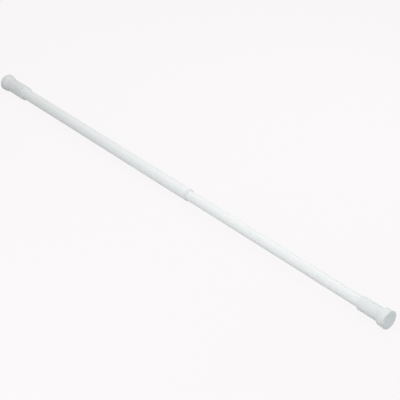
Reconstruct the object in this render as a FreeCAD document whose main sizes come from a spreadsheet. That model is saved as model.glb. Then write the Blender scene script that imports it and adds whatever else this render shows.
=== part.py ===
import FreeCAD, Part
import os
import re

import Sketcher

# Spring tension rod: two telescoping tubes with flared end caps, a cam that locks
# the tubes together by a twist, and a spring plunger that presses the rod between walls.
# +X runs along the rod from the outer tube's wall pad to the inner tube's wall pad.

# Driving sizes in millimetres
SIZES = {
    # thin-walled steel tubes
    "outer_tube_dia": 19.0,
    "outer_tube_wall": 0.6,
    "outer_tube_len": 513.0,
    "inner_tube_dia": 16.0,
    "inner_tube_wall": 0.6,
    "inner_tube_len": 529.0,
    "tube_overlap": 127.0,
    "tube_edge_round": 0.2,
    # rolled beads that hold the bush and the spring seat in the inner tube
    "bead_depth": 0.7,
    "bead_floor": 1.6,
    "bead_flank": 0.9,
    "bush_bead_from_end": 10.0,
    "seat_bead_from_face": 5.0,
    # end caps, each pushed over its own tube
    "cap_web": 2.5,
    "cap_rim": 1.0,
    "cap_rim_round": 0.6,
    "cap_ridge_round": 2.0,
    "cap_root_round": 4.0,
    "cap_mouth_round": 0.7,
    "cap_mouth_lead": 0.6,
    "outer_flange_dia": 29.3,
    "outer_band_len": 8.5,
    "outer_band_taper": 0.7,
    "outer_flare_len": 6.5,
    "outer_sleeve_len": 49.0,
    "outer_sleeve_wall": 2.4,
    "inner_flange_dia": 26.8,
    "inner_band_len": 11.3,
    "inner_band_taper": 0.8,
    "inner_flare_len": 4.0,
    "inner_sleeve_len": 33.4,
    "inner_sleeve_wall": 2.0,
    # soft wall pads, each held by a barbed stud through its cap's web
    "pad_recess": 2.0,
    "pad_proud": 0.6,
    "pad_land": 3.6,
    "pad_dish_depth": 0.6,
    "pad_dish_slope": 1.2,
    "pad_dimple_rad": 1.6,
    "pad_dimple_depth": 0.5,
    "pad_edge_chamfer": 0.4,
    "stud_rad": 2.4,
    "stud_barb": 0.6,
    "stud_barb_len": 2.8,
    # guide collar in the outer tube's mouth
    "collar_insert_len": 18.0,
    "collar_lip_len": 2.4,
    "collar_lip_inset": 0.15,
    "collar_lip_chamfer": 0.35,
    "collar_nose_len": 2.8,
    "collar_nose_wall": 0.5,
    "collar_lead": 0.3,
    "collar_slit": 1.5,
    "collar_slit_len": 11.0,
    "collar_slits": 4,
    # cam that locks the tubes: an eccentric journal inside a split ring
    "cam_offset": 0.4,
    "journal_dia": 12.0,
    "journal_len": 14.4,
    "spindle_core_dia": 10.0,
    "nose_len": 4.0,
    "nose_chamfer": 1.2,
    "nose_core_dia": 6.0,
    "nose_core_depth": 9.0,
    "spindle_flange_len": 3.0,
    "hub_dia": 11.0,
    "hub_len": 12.0,
    "socket_depth": 20.0,
    "ring_slot": 3.0,
    "ring_chamfer": 0.5,
    "flute_width": 1.1,
    "flute_depth": 0.5,
    "flutes": 14,
    # plunger
    "rod_flats": 6.0,
    "rod_tail_dia": 5.4,
    "rod_tail_len": 4.4,
    "rod_tail_chamfer": 0.5,
    "pin_dia": 2.5,
    "pin_wall": 0.5,
    "pin_slit": 0.6,
    "washer_dia": 13.6,
    "washer_thick": 1.2,
    "clip_dia": 9.0,
    "clip_thick": 0.8,
    "clip_groove_dia": 4.3,
    "clip_mouth": 3.6,
    "clip_relief_rad": 1.3,
    # bush and spring in the inner tube
    "bush_flange_len": 3.0,
    "bush_chamfer": 0.6,
    "bush_spigot_len": 18.0,
    "spring_stroke": 32.0,
    "spring_len": 60.0,
    "spring_wire": 1.1,
    "spring_outer_dia": 12.4,
    "spring_coils": 6,
    "spring_closed_pitch": 1.04,
    "seat_len": 10.0,
    "seat_pilot_len": 6.0,
    "seat_pilot_chamfer": 1.0,
    "seat_vent_dia": 4.0,
    # clearances
    "press_gap": 0.03,
    "pad_gap": 0.1,
    "slide_gap": 0.1,
    "disc_gap": 0.15,
    "ring_gap": 0.1,
    "ring_float": 0.6,
    "ring_end_gap": 0.2,
    "rod_gap": 0.06,
    "tail_gap": 0.1,
    "pin_gap": 0.02,
    "stop_gap": 0.3,
    "hub_stop_gap": 1.0,
    "spring_end_gap": 0.1,
    "spring_pilot_gap": 0.25,
}

# Places along the rod and radii that follow from the driving sizes
STATIONS = {
    "outer_rad": "outer_tube_dia / 2",
    "outer_bore_rad": "outer_tube_dia / 2 - outer_tube_wall",
    "inner_rad": "inner_tube_dia / 2",
    "inner_bore_rad": "inner_tube_dia / 2 - inner_tube_wall",
    "bead_half": "bead_floor / 2 + bead_flank",
    "cap_seat_depth": "pad_recess + cap_web",
    "outer_tube_start": "pad_proud + pad_recess + cap_web",
    "mouth": "pad_proud + pad_recess + cap_web + outer_tube_len",
    "inner_tube_start": "mouth - tube_overlap",
    "inner_cap_rim": "inner_tube_start + inner_tube_len + pad_recess + cap_web",
    "inner_wall_face": "inner_cap_rim + pad_proud",
    "bush_end": "inner_tube_start + bush_spigot_len",
    "hub_end": "inner_tube_start - bush_flange_len - hub_stop_gap - spring_stroke",
    "spindle_len": "nose_len + journal_len + spindle_flange_len + hub_len",
    "spindle_start": "hub_end - spindle_len",
    "rod_start": "hub_end - socket_depth",
    "rod_hex_len": "bush_end + stop_gap - rod_start",
    "washer_start": "bush_end + stop_gap",
    "clip_start": "washer_start + washer_thick",
    "spring_start": "clip_start + spring_end_gap",
    "seat_face": "spring_start + spring_len + spring_end_gap",
    "disc_rad": "outer_bore_rad - disc_gap",
    "pilot_rad": "spring_outer_dia / 2 - spring_wire - spring_pilot_gap",
    "socket_flats": "rod_flats + 2 * rod_gap",
}

SHEETS = {"Sizes": SIZES, "Stations": STATIONS}


def formula(text):
    """Name the sheet in front of every sheet alias in an expression."""
    def qualified(match):
        word = match.group()
        for sheet, names in SHEETS.items():
            if word in names:
                return f"{sheet}.{word}"
        return word

    return re.sub(r"[a-z_]+", qualified, text)


def fill_sheets(doc):
    """Write the driving numbers in one sheet and what follows from them in another."""
    sizes = doc.addObject("Spreadsheet::Sheet", "Sizes")
    for row, (name, number) in enumerate(SIZES.items(), start=1):
        sizes.set(f"A{row}", name.replace("_", " "))
        sizes.set(f"B{row}", str(number))
        sizes.setAlias(f"B{row}", name)
    doc.recompute()
    stations = doc.addObject("Spreadsheet::Sheet", "Stations")
    for row, name in enumerate(STATIONS, start=1):
        stations.set(f"A{row}", name.replace("_", " "))
        stations.setAlias(f"B{row}", name)
    for row, rule in enumerate(STATIONS.values(), start=1):
        stations.set(f"B{row}", "=" + formula(rule))
    doc.recompute()


def number(doc, text):
    """The present value of an expression in millimetres."""
    return float(doc.Sizes.evalExpression(formula(text)))


def new_body(doc, name, start, faces_back=False):
    """A body whose own origin lies on the rod's axis at start."""
    body = doc.addObject("PartDesign::Body", name)
    body.Label = name
    if faces_back:
        turn = FreeCAD.Rotation(FreeCAD.Vector(0, 0, 1), 180)
        body.Placement = FreeCAD.Placement(FreeCAD.Vector(), turn)
    body.setExpression("Placement.Base.x", formula(start))
    return body


def new_sketch(body, role, lift="0"):
    """A sketch on one of the body's own origin planes, lifted along its normal."""
    sketch = body.newObject("Sketcher::SketchObject", body.Name + "_sketch")
    plane = next(f for f in body.Origin.OriginFeatures if f.Role == role)
    sketch.AttachmentSupport = (plane, "")
    sketch.MapMode = "FlatFace"
    sketch.setExpression("AttachmentOffset.Base.z", formula(lift))
    return sketch


def hold_point(sketch, item, end, across, up):
    """Dimension one point of the sketch from the origin."""
    doc = sketch.Document
    for kind, text in (("DistanceX", across), ("DistanceY", up)):
        rule = Sketcher.Constraint(kind, -1, 1, item, end, number(doc, text))
        index = sketch.addConstraint(rule)
        sketch.setExpression(f"Constraints[{index}]", formula(text))


def add_outline(sketch, corners):
    """A closed outline of straight sides through corners given as expressions."""
    doc = sketch.Document
    first = sketch.GeometryCount
    points = [FreeCAD.Vector(number(doc, a), number(doc, b), 0) for a, b in corners]
    count = len(corners)
    for i in range(count):
        sketch.addGeometry(Part.LineSegment(points[i], points[(i + 1) % count]), False)
    for i in range(count):
        after = first + (i + 1) % count
        sketch.addConstraint(Sketcher.Constraint("Coincident", first + i, 2, after, 1))
    for i, (across, up) in enumerate(corners):
        hold_point(sketch, first + i, 1, across, up)


def add_circle(sketch, radius, across="0", up="0"):
    """A full circle whose centre and radius are expressions."""
    doc = sketch.Document
    centre = FreeCAD.Vector(number(doc, across), number(doc, up), 0)
    normal = FreeCAD.Vector(0, 0, 1)
    item = sketch.addGeometry(Part.Circle(centre, normal, number(doc, radius)), False)
    hold_point(sketch, item, 3, across, up)
    index = sketch.addConstraint(Sketcher.Constraint("Radius", item, number(doc, radius)))
    sketch.setExpression(f"Constraints[{index}]", formula(radius))


def hexagon(flats):
    """The corners of a hexagon of the given size across its flats."""
    side, near, high = f"({flats}) / sqrt(3)", f"({flats}) / sqrt(12)", f"({flats}) / 2"
    return [
        (side, "0"), (near, high), (f"-{near}", high),
        (f"-{side}", "0"), (f"-{near}", f"-{high}"), (near, f"-{high}"),
    ]


def octagon(flats, across, up):
    """The corners of an octagon of the given size across its flats, about a point."""
    far, near = f"({flats}) / 2", f"({flats}) / 2 * (sqrt(2) - 1)"
    right = [(far, f"-{near}"), (far, near), (near, far), (f"-{near}", far)]
    left = [(f"-{far}", near), (f"-{far}", f"-{near}"), (f"-{near}", f"-{far}"), (near, f"-{far}")]
    return [(f"{across} + {a}", f"{up} + {b}") for a, b in right + left]


def box_corners(left, right, low, high):
    """The corners of an upright rectangle."""
    return [(left, low), (right, low), (right, high), (left, high)]


def turned(body, corners):
    """Turn an outline of (along, radius) corners round the rod's axis."""
    sketch = new_sketch(body, "XZ_Plane")
    add_outline(sketch, corners)
    solid = body.newObject("PartDesign::Revolution", body.Name + "_turned")
    solid.Profile = sketch
    solid.ReferenceAxis = (sketch, ["H_Axis"])
    solid.Angle = 360
    body.Document.recompute()
    return solid


def padded(body, draw, start, length, role="YZ_Plane"):
    """Extrude what draw puts in a sketch, from start over length along its normal."""
    sketch = new_sketch(body, role, start)
    draw(sketch)
    solid = body.newObject("PartDesign::Pad", body.Name + "_pad")
    solid.Profile = sketch
    solid.setExpression("Length", formula(length))
    body.Document.recompute()
    return solid


def cut_out(body, draw, start, length, role="YZ_Plane"):
    """Cut what draw puts in a sketch, from start over length along its normal."""
    doc = body.Document
    doc.recompute()
    before = body.Shape.Volume
    sketch = new_sketch(body, role, start)
    draw(sketch)
    cut = body.newObject("PartDesign::Pocket", body.Name + "_cut")
    cut.Profile = sketch
    cut.Reversed = True
    cut.setExpression("Length", formula(length))
    doc.recompute()
    if not body.Shape.Volume < before:
        raise RuntimeError(f"{body.Name}: the cut from {start} removes nothing")
    return cut


def repeated(body, feature, count):
    """Repeat a feature evenly round the rod's axis."""
    pattern = body.newObject("PartDesign::PolarPattern", body.Name + "_pattern")
    pattern.Originals = [feature]
    axis = next(f for f in body.Origin.OriginFeatures if f.Role == "X_Axis")
    pattern.Axis = (axis, [""])
    pattern.Angle = 360
    pattern.setExpression("Occurrences", formula(count))
    body.Tip = pattern
    body.Document.recompute()
    return pattern


def rims(body, places):
    """Names of the circular edges at (along, radius) places on the body's last feature."""
    doc = body.Document
    doc.recompute()
    wanted = [(number(doc, along), number(doc, radius)) for along, radius in places]
    found = []
    for index, edge in enumerate(body.Tip.Shape.Edges, start=1):
        curve = edge.Curve
        if not isinstance(curve, Part.Circle):
            continue
        for along, radius in wanted:
            if abs(curve.Center.x - along) < 1e-4 and abs(curve.Radius - radius) < 1e-4:
                found.append(f"Edge{index}")
    if len(found) < len(wanted):
        raise RuntimeError(f"{body.Name}: a rim is missing")
    return found


def softened(body, kind, size, places):
    """Round or chamfer the rims at the given places."""
    edges = rims(body, places)
    base = body.Tip
    feature = body.newObject("PartDesign::" + kind, body.Name + "_" + kind.lower())
    feature.Base = (base, edges)
    feature.setExpression("Radius" if kind == "Fillet" else "Size", formula(size))
    body.Document.recompute()
    return feature


def bead(centre, radius):
    """Corners of a rolled bead about centre on a surface of the given radius."""
    low = f"{radius} - bead_depth"
    return [
        (f"{centre} - bead_half", radius),
        (f"{centre} - bead_floor / 2", low),
        (f"{centre} + bead_floor / 2", low),
        (f"{centre} + bead_half", radius),
    ]


def make_outer_tube(doc):
    body = new_body(doc, "outer_tube", "outer_tube_start")
    turned(body, box_corners("0", "outer_tube_len", "outer_bore_rad", "outer_rad"))
    softened(body, "Fillet", "tube_edge_round", [("outer_tube_len", "outer_rad")])


def make_inner_tube(doc):
    body = new_body(doc, "inner_tube", "inner_tube_start")
    beads = ["bush_bead_from_end", "seat_face - inner_tube_start + seat_bead_from_face"]
    outside = [corner for place in beads for corner in bead(place, "inner_rad")]
    inside = [corner for place in beads for corner in bead(place, "inner_bore_rad")]
    ends = [("inner_tube_len", "inner_rad"), ("inner_tube_len", "inner_bore_rad")]
    starts = [("0", "inner_bore_rad"), ("0", "inner_rad")]
    turned(body, outside + ends + inside[::-1] + starts)


def make_end_cap(doc, side, rim_place):
    """A moulded cap: a sleeve over the tube and a flared flange that carries the pad."""
    body = new_body(doc, f"{side}_cap", rim_place, faces_back=side == "inner")
    flange = f"{side}_flange_dia / 2"
    bore = f"{side}_rad + press_gap"
    sleeve = f"{side}_rad + {side}_sleeve_wall"
    flare_end = f"{side}_band_len + {side}_flare_len"
    mouth = f"{flare_end} + {side}_sleeve_len"
    seat, hole = f"{flange} - cap_rim", "stud_rad + pad_gap"
    turned(body, [
        ("0", seat),
        ("0", flange),
        (f"{side}_band_len", f"{flange} - {side}_band_taper"),
        (flare_end, sleeve),
        (mouth, sleeve),
        (mouth, f"{bore} + cap_mouth_lead"),
        (f"{mouth} - cap_mouth_lead", bore),
        ("cap_seat_depth", bore),
        ("cap_seat_depth", hole),
        ("pad_recess", hole),
        ("pad_recess", seat),
    ])
    softened(body, "Fillet", "cap_rim_round", [("0", flange)])
    ridge = (f"{side}_band_len", f"{flange} - {side}_band_taper")
    softened(body, "Fillet", "cap_ridge_round", [ridge])
    softened(body, "Fillet", "cap_root_round", [(flare_end, sleeve)])
    softened(body, "Fillet", "cap_mouth_round", [(mouth, sleeve)])


def make_wall_pad(doc, side, wall_face):
    """A soft disc with a dished face and a barbed stud that snaps through the cap's web."""
    body = new_body(doc, f"{side}_pad", wall_face, faces_back=side == "inner")
    edge = f"{side}_flange_dia / 2 - cap_rim - pad_gap"
    dish = f"{edge} - pad_land - pad_dish_slope"
    back = "pad_proud + pad_recess"
    dimple_floor = "pad_dish_depth + pad_dimple_depth"
    turned(body, [
        (dimple_floor, "0"),
        (dimple_floor, "pad_dimple_rad / 2"),
        ("pad_dish_depth", "pad_dimple_rad"),
        ("pad_dish_depth", dish),
        ("0", f"{edge} - pad_land"),
        ("0", edge),
        (back, edge),
        (back, "stud_rad"),
        (f"{back} + cap_web + pad_gap", "stud_rad"),
        (f"{back} + cap_web + pad_gap", "stud_rad + stud_barb"),
        (f"{back} + cap_web + stud_barb_len", "stud_rad / 2"),
        (f"{back} + cap_web + stud_barb_len", "0"),
    ])
    softened(body, "Chamfer", "pad_edge_chamfer", [("0", edge)])


def make_mouth_collar(doc):
    """A slit sleeve in the outer tube's mouth that guides the inner tube."""
    body = new_body(doc, "mouth_collar", "mouth")
    skin, bore = "outer_bore_rad - press_gap", "inner_rad + slide_gap"
    lip, tip = "outer_rad - collar_lip_inset", "collar_lip_len + collar_nose_len"
    turned(body, [
        ("-collar_insert_len", f"{bore} + collar_lead"),
        ("-collar_insert_len", f"{skin} - collar_lead"),
        ("-collar_insert_len + collar_lead", skin),
        ("0", skin),
        ("0", lip),
        ("collar_lip_len", lip),
        (tip, f"{bore} + collar_nose_wall"),
        (tip, f"{bore} + collar_lead"),
        (f"{tip} - collar_lead", bore),
        ("-collar_insert_len + collar_lead", bore),
    ])
    softened(body, "Chamfer", "collar_lip_chamfer", [("0", lip), ("collar_lip_len", lip)])
    half = "collar_slit / 2"

    def slit(sketch):
        add_outline(sketch, box_corners(f"-{half}", half, "inner_rad / 2", "outer_rad"))

    cut = cut_out(body, slit, "-collar_insert_len", "collar_slit_len")
    repeated(body, cut, "collar_slits")


def make_lock_ring(doc):
    """A split, fluted ring whose bore is off centre, so that the cam can wedge it."""
    ring_len = "journal_len - 2 * ring_end_gap"
    body = new_body(doc, "lock_ring", "spindle_start + nose_len + ring_end_gap")
    skin = "outer_bore_rad - ring_gap"

    def section(sketch):
        add_circle(sketch, skin)
        add_circle(sketch, "journal_dia / 2 + ring_float", up="cam_offset")

    def slot(sketch):
        half = "ring_slot / 2"
        add_outline(sketch, box_corners(f"-{half}", half, "-outer_rad", "0"))

    def flute(sketch):
        half = "flute_width / 2"
        floor = f"{skin} - flute_depth"
        add_outline(sketch, box_corners(f"-{half}", half, floor, "outer_rad"))

    padded(body, section, "0", ring_len)
    softened(body, "Chamfer", "ring_chamfer", [("0", skin), (ring_len, skin)])
    cut = cut_out(body, flute, "0", ring_len)
    repeated(body, cut, "flutes")
    cut_out(body, slot, "0", ring_len)


def make_cam_spindle(doc):
    """A moulded spindle: guide nose, eccentric journal, flange and a hub for the rod."""
    body = new_body(doc, "cam_spindle", "spindle_start")
    journal_end = "nose_len + journal_len"
    flange_end = f"{journal_end} + spindle_flange_len"
    core = "spindle_core_dia / 2"
    turned(body, [
        ("0", "0"),
        ("0", "disc_rad"),
        ("nose_len", "disc_rad"),
        ("nose_len", core),
        (journal_end, core),
        (journal_end, "disc_rad"),
        (flange_end, "disc_rad"),
        (flange_end, "hub_dia / 2"),
        ("spindle_len", "hub_dia / 2"),
        ("spindle_len", "0"),
    ])
    softened(body, "Chamfer", "nose_chamfer", [("0", "disc_rad")])

    def journal(sketch):
        add_circle(sketch, "journal_dia / 2", up="cam_offset")

    def nose_core(sketch):
        add_circle(sketch, "nose_core_dia / 2")

    def socket(sketch):
        add_outline(sketch, hexagon("socket_flats"))

    def pin_hole(sketch):
        add_circle(sketch, "pin_dia / 2", across="spindle_len - hub_len / 2")

    padded(body, journal, "nose_len", "journal_len")
    cut_out(body, nose_core, "0", "nose_core_depth")
    cut_out(body, socket, "spindle_len - socket_depth", "socket_depth")
    cut_out(body, pin_hole, "-hub_dia", "2 * hub_dia", role="XY_Plane")


def make_guide_rod(doc):
    """A hexagonal steel rod that slides in the bush and turns with it."""
    body = new_body(doc, "guide_rod", "rod_start")
    tail_end = "rod_hex_len + rod_tail_len"

    def hexagonal(sketch):
        add_outline(sketch, hexagon("rod_flats"))

    def tail(sketch):
        add_circle(sketch, "rod_tail_dia / 2")

    def groove(sketch):
        add_circle(sketch, "rod_flats")
        add_circle(sketch, "clip_groove_dia / 2")

    def pin_hole(sketch):
        add_circle(sketch, "pin_dia / 2", across="socket_depth - hub_len / 2")

    padded(body, hexagonal, "0", "rod_hex_len")
    padded(body, tail, "rod_hex_len", "rod_tail_len")
    softened(body, "Chamfer", "rod_tail_chamfer", [(tail_end, "rod_tail_dia / 2")])
    cut_out(body, groove, "rod_hex_len + washer_thick", "clip_thick + tail_gap")
    cut_out(body, pin_hole, "-rod_flats", "2 * rod_flats", role="XY_Plane")


def make_spindle_pin(doc):
    """A rolled spring pin across the hub and the rod."""
    body = new_body(doc, "spindle_pin", "hub_end - hub_len / 2")
    pin_len = "hub_dia - 2 * pin_gap"

    def rolled(sketch):
        add_circle(sketch, "pin_dia / 2 - pin_gap")
        add_circle(sketch, "pin_dia / 2 - pin_gap - pin_wall")

    def slit(sketch):
        half = "pin_slit / 2"
        add_outline(sketch, box_corners("0", "pin_dia", f"-{half}", half))

    padded(body, rolled, f"-({pin_len}) / 2", pin_len, role="XY_Plane")
    cut_out(body, slit, f"-({pin_len}) / 2", pin_len, role="XY_Plane")


def make_stop_washer(doc):
    """The washer on the rod's shoulder that stops it at the bush and takes the spring."""
    body = new_body(doc, "stop_washer", "washer_start")
    bore = "rod_tail_dia / 2 + press_gap"
    turned(body, box_corners("0", "washer_thick", bore, "washer_dia / 2"))


def make_retaining_clip(doc):
    """A stamped clip, open on one side, that snaps into the rod's groove."""
    body = new_body(doc, "retaining_clip", "clip_start")
    grip = "clip_groove_dia / 2 + press_gap"

    def blank(sketch):
        add_circle(sketch, "clip_dia / 2")
        add_circle(sketch, grip)

    def mouth(sketch):
        half = "clip_mouth / 2"
        add_outline(sketch, box_corners(f"-{half}", half, "0", "clip_dia"))

    def relief(sketch):
        add_circle(sketch, "clip_relief_rad", up=f"-({grip})")

    padded(body, blank, "0", "clip_thick")
    cut_out(body, mouth, "0", "clip_thick")
    cut_out(body, relief, "0", "clip_thick")


def make_tube_bush(doc):
    """The bush crimped in the inner tube's end, with a hexagonal bore for the rod."""
    body = new_body(doc, "tube_bush", "inner_tube_start")
    skin, floor = "inner_bore_rad - press_gap", "bush_bead_from_end"
    edge = "outer_bore_rad - slide_gap"
    turned(body, [
        ("-bush_flange_len", "0"),
        ("-bush_flange_len", edge),
        ("0", edge),
        ("0", skin),
        *bead(floor, skin),
        ("bush_spigot_len", skin),
        ("bush_spigot_len", "0"),
    ])
    softened(body, "Chamfer", "bush_chamfer", [("-bush_flange_len", edge)])

    def bore(sketch):
        add_outline(sketch, hexagon("socket_flats"))

    cut_out(body, bore, "-bush_flange_len", "bush_flange_len + bush_spigot_len")


def make_pressure_spring(doc):
    """The compression spring between the plunger's washer and its seat."""
    body = new_body(doc, "pressure_spring", "spring_start")
    half = "spring_wire / 2"
    closed = "spring_wire * spring_closed_pitch"
    active_end = f"spring_len - {half} - {closed}"
    stretches = [
        (half, closed, "1"),
        (f"{half} + {closed}", f"{active_end} - {half} - {closed}", "spring_coils"),
        (active_end, closed, "1"),
    ]
    for start, height, turns in stretches:
        sketch = new_sketch(body, "XZ_Plane")
        add_outline(sketch, octagon("spring_wire", start, "spring_outer_dia / 2 - spring_wire / 2"))
        coils = body.newObject("PartDesign::AdditiveHelix", "pressure_spring_coils")
        coils.Profile = sketch
        coils.ReferenceAxis = (sketch, ["H_Axis"])
        coils.Mode = "height-turns-angle"
        coils.setExpression("Height", formula(height))
        coils.setExpression("Turns", formula(turns))
        doc.recompute()


def make_spring_seat(doc):
    """The plug crimped in the inner tube that the spring bears on."""
    body = new_body(doc, "spring_seat", "seat_face")
    skin = "inner_bore_rad - press_gap"
    turned(body, [
        ("-seat_pilot_len", "seat_vent_dia / 2"),
        ("-seat_pilot_len", "pilot_rad"),
        ("0", "pilot_rad"),
        ("0", skin),
        *bead("seat_bead_from_face", skin),
        ("seat_len", skin),
        ("seat_len", "seat_vent_dia / 2"),
    ])
    softened(body, "Chamfer", "seat_pilot_chamfer", [("-seat_pilot_len", "pilot_rad")])


def check_model(doc):
    """Stop if any feature failed or any body isn't one sound solid."""
    for item in doc.Objects:
        if "Invalid" in item.State or "Error" in item.State:
            raise RuntimeError(f"{item.Name} failed: {item.State}")
    bodies = [item for item in doc.Objects if item.TypeId == "PartDesign::Body"]
    for body in bodies:
        shape = body.Shape
        if shape.isNull() or not shape.isValid() or len(shape.Solids) != 1:
            raise RuntimeError(f"{body.Label} isn't one valid solid")
    return bodies


def main():
    doc = FreeCAD.newDocument("tension_rod")
    fill_sheets(doc)
    make_outer_tube(doc)
    make_end_cap(doc, "outer", "pad_proud")
    make_wall_pad(doc, "outer", "0")
    make_mouth_collar(doc)
    make_lock_ring(doc)
    make_cam_spindle(doc)
    make_guide_rod(doc)
    make_spindle_pin(doc)
    make_stop_washer(doc)
    make_retaining_clip(doc)
    make_tube_bush(doc)
    make_pressure_spring(doc)
    make_spring_seat(doc)
    make_inner_tube(doc)
    make_end_cap(doc, "inner", "inner_cap_rim")
    make_wall_pad(doc, "inner", "inner_wall_face")
    doc.recompute()
    bodies = check_model(doc)
    os.makedirs("parts", exist_ok=True)
    for body in bodies:
        body.Shape.exportStep(os.path.join("parts", body.Label + ".step"))
        low, high = body.Shape.BoundBox.XMin, body.Shape.BoundBox.XMax
        print(f"{body.Label:16s} x {low:8.2f} to {high:8.2f}  volume {body.Shape.Volume:9.1f}")


main()
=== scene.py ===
"""Looks of a telescoping spring tension rod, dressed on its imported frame.

The rod lies along +X, from the outer tube's wall pad to the inner tube's wall pad,
with its axis at y = 0 and z = 0. Every size is in metres.
"""

import logging
import math
from dataclasses import dataclass
from enum import Enum

import bmesh
import bpy
from bpy.types import Material, NodeOutputs, NodeSocket, NodeTree, Object, World
from mathutils import Matrix, Vector

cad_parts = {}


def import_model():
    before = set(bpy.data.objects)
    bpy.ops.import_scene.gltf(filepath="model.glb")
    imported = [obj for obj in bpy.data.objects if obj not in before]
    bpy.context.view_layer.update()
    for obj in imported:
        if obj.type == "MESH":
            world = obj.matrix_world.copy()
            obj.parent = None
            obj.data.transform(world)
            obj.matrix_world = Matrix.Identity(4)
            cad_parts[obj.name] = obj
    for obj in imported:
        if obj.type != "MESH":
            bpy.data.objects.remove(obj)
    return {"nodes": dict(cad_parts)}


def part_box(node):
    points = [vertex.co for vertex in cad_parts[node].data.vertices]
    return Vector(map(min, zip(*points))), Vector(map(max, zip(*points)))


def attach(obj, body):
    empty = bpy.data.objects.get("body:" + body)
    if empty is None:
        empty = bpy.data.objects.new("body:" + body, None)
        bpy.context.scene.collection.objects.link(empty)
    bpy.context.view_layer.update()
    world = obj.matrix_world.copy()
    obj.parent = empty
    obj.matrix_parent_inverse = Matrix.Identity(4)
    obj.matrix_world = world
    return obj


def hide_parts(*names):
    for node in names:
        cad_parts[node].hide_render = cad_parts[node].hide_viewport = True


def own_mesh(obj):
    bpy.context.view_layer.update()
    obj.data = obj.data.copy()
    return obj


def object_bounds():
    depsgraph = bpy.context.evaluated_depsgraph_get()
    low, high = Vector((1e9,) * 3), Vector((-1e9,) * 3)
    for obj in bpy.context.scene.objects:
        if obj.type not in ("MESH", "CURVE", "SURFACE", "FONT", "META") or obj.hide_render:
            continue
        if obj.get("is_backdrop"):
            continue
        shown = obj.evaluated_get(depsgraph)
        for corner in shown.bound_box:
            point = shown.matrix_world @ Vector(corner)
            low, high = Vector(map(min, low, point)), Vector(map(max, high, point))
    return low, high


LOG = logging.getLogger("tension_rod")
MM = 0.001
# The two walls that the rod presses on, along X
WALLS = (0.0, 925.2 * MM)

# The two bodies that carry what the photograph shows
OUTER_SECTION = "outer_section"
INNER_SECTION = "inner_section"

# A Mix node has a socket A, B and Result for each kind of data. These are its colour ones
MIX_A, MIX_B, MIX_RESULT = 6, 7, 2
# Fractal noise seldom strays past these, so a gloss that is spread over them uses its range
NOISE_LOW, NOISE_HIGH = 0.3, 0.7
# Between these noise values a patch rubbed by the wall fades in, over about half the area
RUBBED_FROM, RUBBED_FULL = 0.42, 0.66
# Octaves of the noise that breaks such a patch up
RUBBED_DETAIL = 5.0


class Facing(Enum):
    """Which way a cap's or pad's own length runs from its wall face."""

    FORWARD = 1
    BACKWARD = -1


def linear(code: str) -> tuple[float, float, float, float]:
    """Turn an sRGB hex colour into linear light.

    Args:
        code: the colour, such as "#F2F4F3".

    Returns:
        Red, green, blue and alpha.
    """
    parts = [int(code[i : i + 2], 16) / 255 for i in (1, 3, 5)]
    rgb = [c / 12.92 if c <= 0.04045 else ((c + 0.055) / 1.055) ** 2.4 for c in parts]
    return (*rgb, 1.0)


def add_node(
    tree: NodeTree, kind: str, inputs: dict[str | int, object] | None = None, **settings: object
) -> NodeOutputs:
    """Add one node with its settings, values and links.

    Args:
        tree: the shader or geometry tree.
        kind: the node's type name.
        inputs: for each input socket a plain value or the output socket that feeds it.
        settings: the node's own properties.

    Returns:
        The new node's outputs.
    """
    node = tree.nodes.new(kind)
    for name, value in settings.items():
        setattr(node, name, value)
    for socket, value in (inputs or {}).items():
        if isinstance(value, NodeSocket):
            tree.links.new(value, node.inputs[socket])
        else:
            node.inputs[socket].default_value = value
    return node.outputs


def empty_tree(owner: Material | World) -> NodeTree:
    """Give a material or the world a node tree with nothing in it.

    Args:
        owner: what the tree belongs to.

    Returns:
        The tree.
    """
    owner.use_nodes = True
    owner.node_tree.nodes.clear()
    return owner.node_tree


def raised_line(tree: NodeTree, off: NodeSocket, half: float) -> NodeSocket:
    """A low, rounded line, by how far a point is off its middle.

    Args:
        tree: the material's tree.
        off: signed distance, or angle, from the line's middle.
        half: half of the line's width, in the same unit.

    Returns:
        The line's height, from 0 to 1.
    """
    away = add_node(tree, "ShaderNodeMath", {0: off}, operation="ABSOLUTE")[0]
    return add_node(
        tree,
        "ShaderNodeMapRange",
        {"Value": away, "From Max": half, "To Min": 1.0, "To Max": 0.0},
        interpolation_type="SMOOTHSTEP",
    )["Result"]


def near_walls(tree: NodeTree, place: NodeSocket, reach: float, patch: float) -> NodeSocket:
    """Broken patches on what lies close to either wall that the rod presses on.

    Args:
        tree: the material's tree.
        place: the point on the piece.
        reach: how far from the wall the patches die out.
        patch: size of one patch.

    Returns:
        From 0 to 1, how much the walls have rubbed the point.
    """
    along = add_node(tree, "ShaderNodeSeparateXYZ", {"Vector": place})["X"]
    middle = (WALLS[0] + WALLS[1]) / 2
    off = add_node(tree, "ShaderNodeMath", {0: along, 1: middle}, operation="SUBTRACT")
    away = add_node(tree, "ShaderNodeMath", {0: off[0]}, operation="ABSOLUTE")
    close = add_node(
        tree,
        "ShaderNodeMapRange",
        {"Value": away[0], "From Min": WALLS[1] - middle - reach, "From Max": WALLS[1] - middle},
        interpolation_type="SMOOTHSTEP",
    )["Result"]
    broken = add_node(
        tree, "ShaderNodeTexNoise", {"Vector": place, "Scale": 1 / patch, "Detail": RUBBED_DETAIL}
    )["Fac"]
    patches = add_node(
        tree,
        "ShaderNodeMapRange",
        {"Value": broken, "From Min": RUBBED_FROM, "From Max": RUBBED_FULL},
        interpolation_type="SMOOTHSTEP",
    )["Result"]
    return add_node(tree, "ShaderNodeMath", {0: close, 1: patches}, operation="MULTIPLY")[0]


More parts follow.
